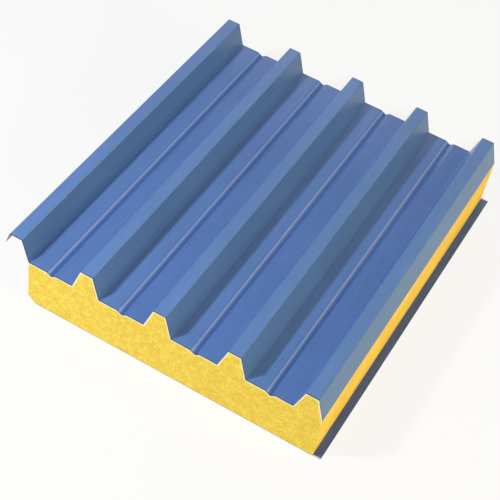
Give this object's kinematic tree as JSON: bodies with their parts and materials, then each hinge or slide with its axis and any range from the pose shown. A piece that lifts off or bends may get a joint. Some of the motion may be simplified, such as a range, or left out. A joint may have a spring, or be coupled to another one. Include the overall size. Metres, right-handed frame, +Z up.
{
  "type": "insulated roof sandwich panel",
  "caption": "Ribbed painted steel roof sheet over a rigid yellow foam core and a flat steel liner, with an empty overlap rib on one side and a bottom lap on the other.",
  "frame": {"origin": "middle of the base of the bounding box", "axes": "+Z up, +Y along the ribs, +X across the width from the overlap rib to the bottom lap"},
  "size_m": [1.1106, 1.3, 0.251],
  "materials": {
    "top_paint": "blue coil coating on rolled steel, satin",
    "foam": "yellow rigid polyurethane foam, cut faces with open cells",
    "liner_paint": "grey-blue liner coating, matt"
  },
  "bodies": {
    "root": {"top_sheet": "top_paint", "insulation_core": "foam", "bottom_sheet": "liner_paint"}
  },
  "joints": []
}
